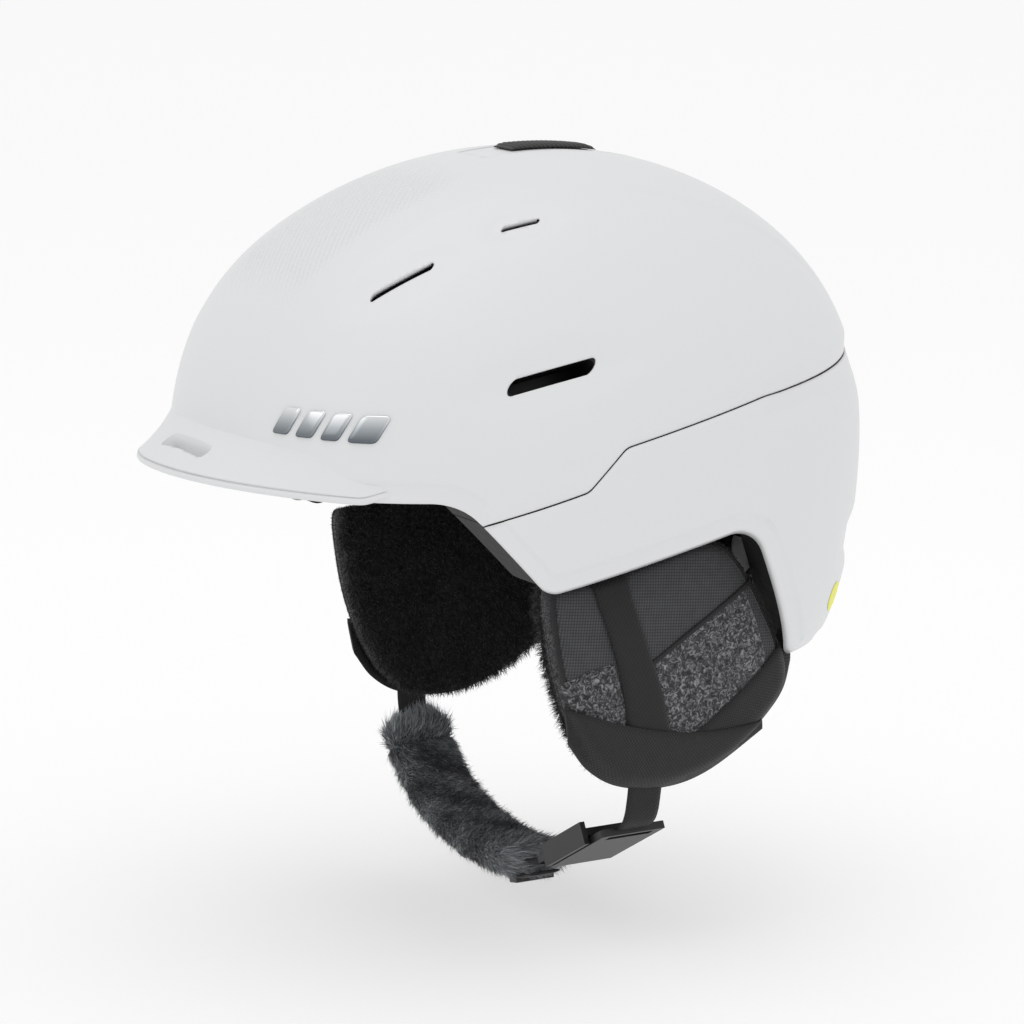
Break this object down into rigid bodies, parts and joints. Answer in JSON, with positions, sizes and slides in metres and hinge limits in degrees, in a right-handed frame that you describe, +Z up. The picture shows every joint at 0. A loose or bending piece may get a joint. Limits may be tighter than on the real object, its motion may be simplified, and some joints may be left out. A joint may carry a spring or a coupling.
{
  "type": "ski helmet",
  "caption": "Hard-shell snow sports helmet with front brim, sliding crown vent, dial fit system, fleece ear pads and a padded chin strap with a magnetic buckle.",
  "frame": {"origin": "middle of the head opening, level with the brow line where the wearer's head sits", "axes": "+Z up towards the crown, the wearer faces -Y, +X is the wearer's left"},
  "size_m": [0.2222, 0.2994, 0.2966],
  "materials": {
    "shell_white": "matte paint on injection-moulded shell",
    "brim_white": "matte moulded",
    "foam_black": "matte foam beads",
    "slip_sheet": "satin sheet",
    "slip_rubber": "matte",
    "fleece_black": "deep pile fleece",
    "fleece_grey": "long pile fleece",
    "cover_weave": "woven cloth with a felt panel",
    "webbing_black": "woven strap",
    "moulded_black": "satin moulded",
    "slider_black": "ribbed moulded",
    "shutter_black": "matte sheet",
    "steel_pin": "satin",
    "magnet_nickel": "plated",
    "badge_chrome": "polished",
    "sticker_yellow": "gloss printed film"
  },
  "bodies": {
    "shell": {"upper_shell": "shell_white", "lower_shell": "shell_white", "brow_visor": "brim_white", "foam_upper": "foam_black", "foam_lower": "foam_black", "slider_track": "slider_black", "slip_anchors": "slip_rubber", "goggle_clip_base": "moulded_black", "goggle_clip_pin": "steel_pin", "brow_badge": "badge_chrome", "liner_sticker": "sticker_yellow", "ear_pad_left": "fleece_black", "ear_pad_right": "fleece_black", "ear_cover_left": "cover_weave", "ear_cover_right": "cover_weave", "strap_front_left": "webbing_black", "strap_front_right": "webbing_black", "strap_rear_left": "webbing_black", "strap_rear_right": "webbing_black", "ear_sleeve_left": "webbing_black", "ear_sleeve_right": "webbing_black", "ear_mount_left": "moulded_black", "ear_mount_right": "moulded_black", "strap_drop_left": "webbing_black", "strap_drop_right": "webbing_black"},
    "slider": {"vent_slider": "slider_black", "vent_shutter": "shutter_black"},
    "liner": {"slip_liner": "slip_sheet", "brow_pad": "fleece_black", "crown_pad": "fleece_black", "side_pad_left": "fleece_black", "side_pad_right": "fleece_black", "rear_pad_left": "fleece_black", "rear_pad_right": "fleece_black", "cradle_rail": "moulded_black"},
    "cradle": {"occipital_cradle": "moulded_black", "cradle_pad": "fleece_black", "dial_housing": "moulded_black"},
    "dial": {"fit_dial": "moulded_black", "dial_pinion": "moulded_black"},
    "band_left": {"fit_band_left": "moulded_black"},
    "band_right": {"fit_band_right": "moulded_black"},
    "clip": {"goggle_clip": "shell_white"},
    "chin_left": {"chin_strap_left": "webbing_black", "buckle_tray": "moulded_black", "tray_magnets": "magnet_nickel"},
    "chin_right": {"chin_strap_right": "webbing_black", "chin_pad": "fleece_grey", "buckle_latch": "moulded_black", "latch_magnets": "magnet_nickel", "strap_tail": "webbing_black", "strap_keepers": "moulded_black", "strap_adjuster": "moulded_black"}
  },
  "joints": [
    {"name": "vent_slide", "type": "hinge", "parent": "shell", "child": "slider", "pos_m": [0, 0.008, -0.03], "axis": [-1, 0, 0], "range_deg": [0, 4.28]},
    {"name": "slip_yaw", "type": "hinge", "parent": "shell", "child": "liner", "pos_m": [0, 0.005, 0], "axis": [0, 0, 1], "range_deg": [-2, 2], "stiffness_Nm_per_rad": 2},
    {"name": "cradle_height", "type": "slide", "parent": "liner", "child": "cradle", "axis": [0, 0, 1], "range_m": [-0.008, 0.008]},
    {"name": "fit_dial", "type": "hinge", "parent": "cradle", "child": "dial", "pos_m": [0, 0.1, -0.066], "axis": [0, -1, 0], "range_deg": [0, 130]},
    {"name": "band_left_slide", "type": "slide", "parent": "cradle", "child": "band_left", "axis": [-1, 0, 0], "range_m": [0, 0.013]},
    {"name": "band_right_slide", "type": "slide", "parent": "cradle", "child": "band_right", "axis": [1, 0, 0], "range_m": [0, 0.013]},
    {"name": "goggle_clip_hinge", "type": "hinge", "parent": "shell", "child": "clip", "pos_m": [0, 0.1418, 0.0104], "axis": [1, 0, 0], "range_deg": [0, 40], "stiffness_Nm_per_rad": 0.02},
    {"name": "chin_left_swing", "type": "hinge", "parent": "shell", "child": "chin_left", "pos_m": [0.087, 0.0065, -0.114], "axis": [1, 0, 0], "range_deg": [0, 45]},
    {"name": "chin_right_swing", "type": "hinge", "parent": "shell", "child": "chin_right", "pos_m": [-0.087, 0.0105, -0.114], "axis": [-1, 0, 0], "range_deg": [0, 32]}
  ],
  "couplings": [
    {"joint": "band_left_slide", "follows": "fit_dial", "m_per_rad": 0.005},
    {"joint": "band_right_slide", "follows": "fit_dial", "m_per_rad": 0.005}
  ]
}
